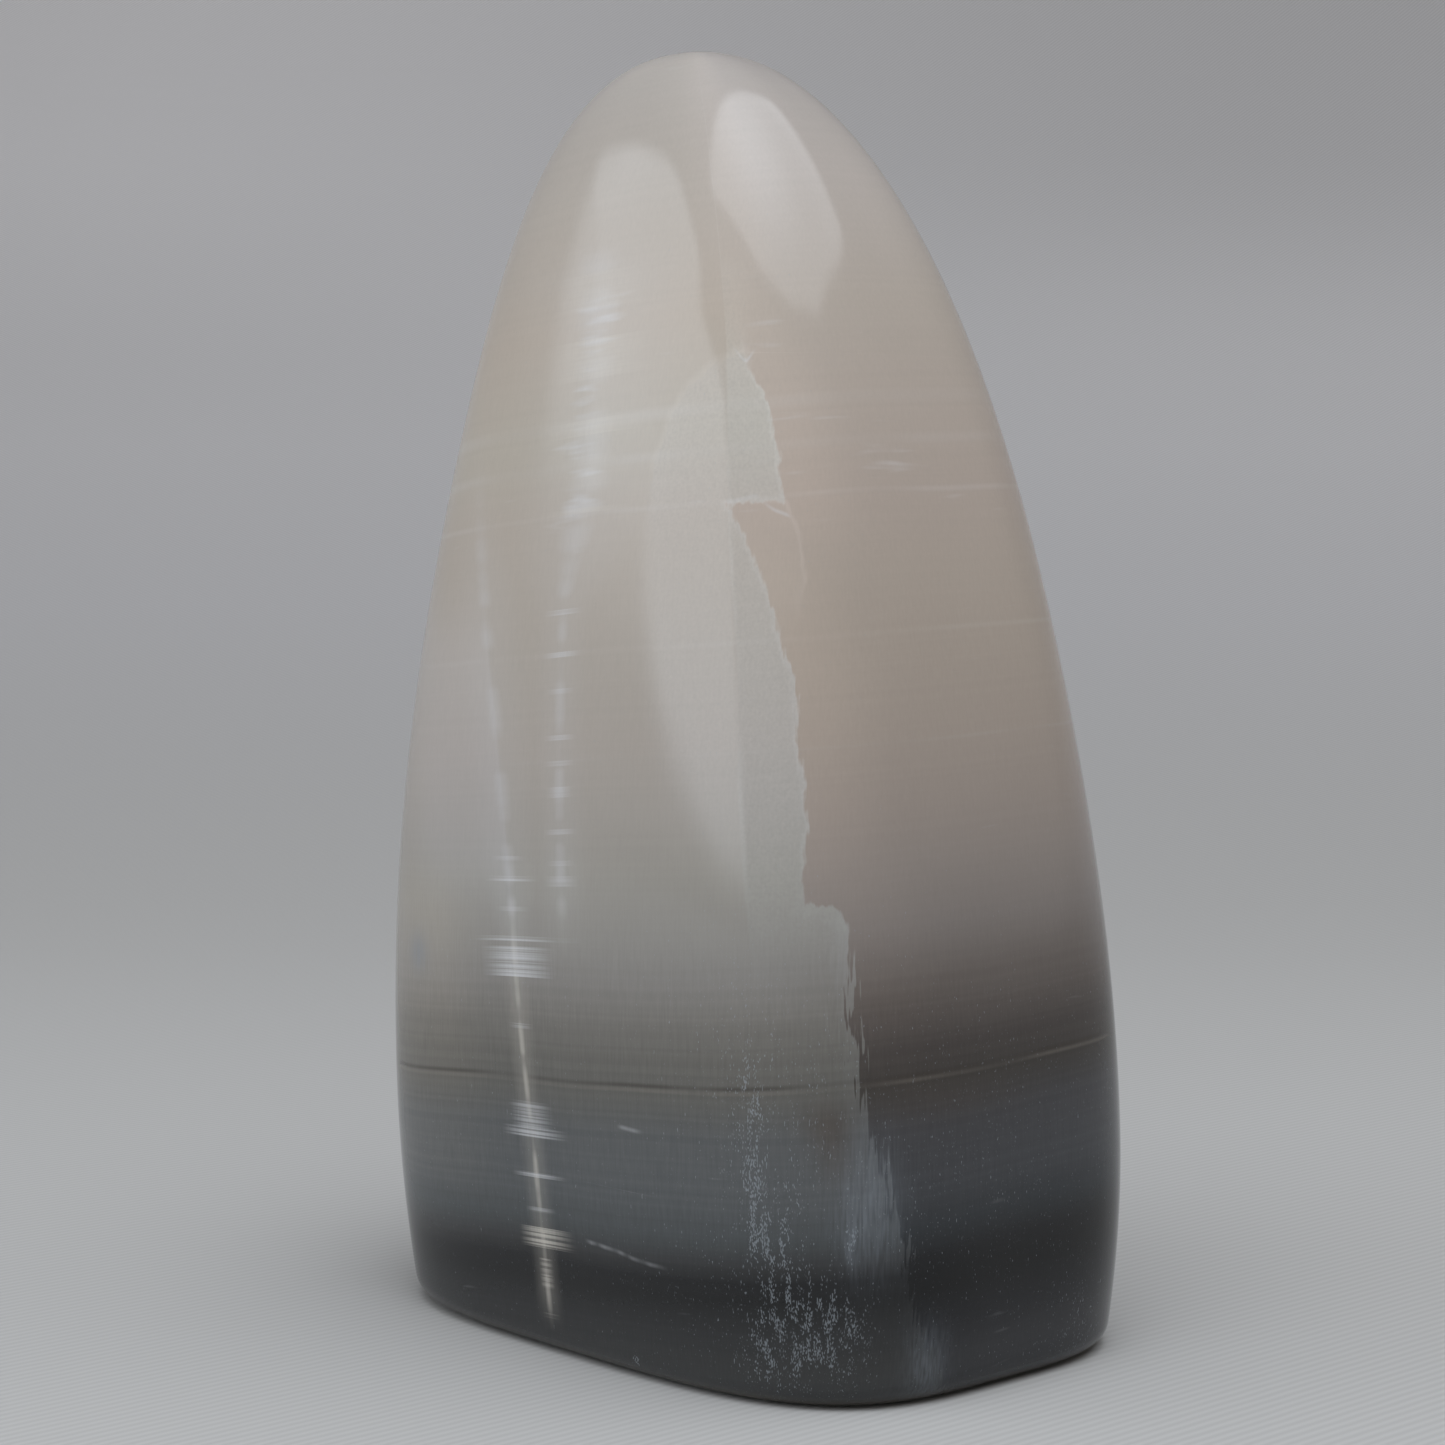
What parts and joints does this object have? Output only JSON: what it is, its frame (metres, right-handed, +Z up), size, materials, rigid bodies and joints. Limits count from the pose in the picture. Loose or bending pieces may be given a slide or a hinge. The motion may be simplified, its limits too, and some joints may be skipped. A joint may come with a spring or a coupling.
{
  "type": "polished pink calcite freeform",
  "caption": "Polished standing freeform of banded pink calcite: arched top, rounded slab body and a flat sawn base to stand on.",
  "frame": {"origin": "on the table, under the middle of the stone's box", "axes": "+Z up along the stone's height; +X along its broad side; +Y through its thickness, so that -Y is the broad face towards the viewer"},
  "size_m": [0.0832, 0.0582, 0.14],
  "materials": {
    "calcite": "polished, faintly translucent: cream pink at the crown, through grey brown, to slate and near black bands at the foot"
  },
  "bodies": {
    "root": {"calcite_stone": "calcite"}
  },
  "joints": []
}
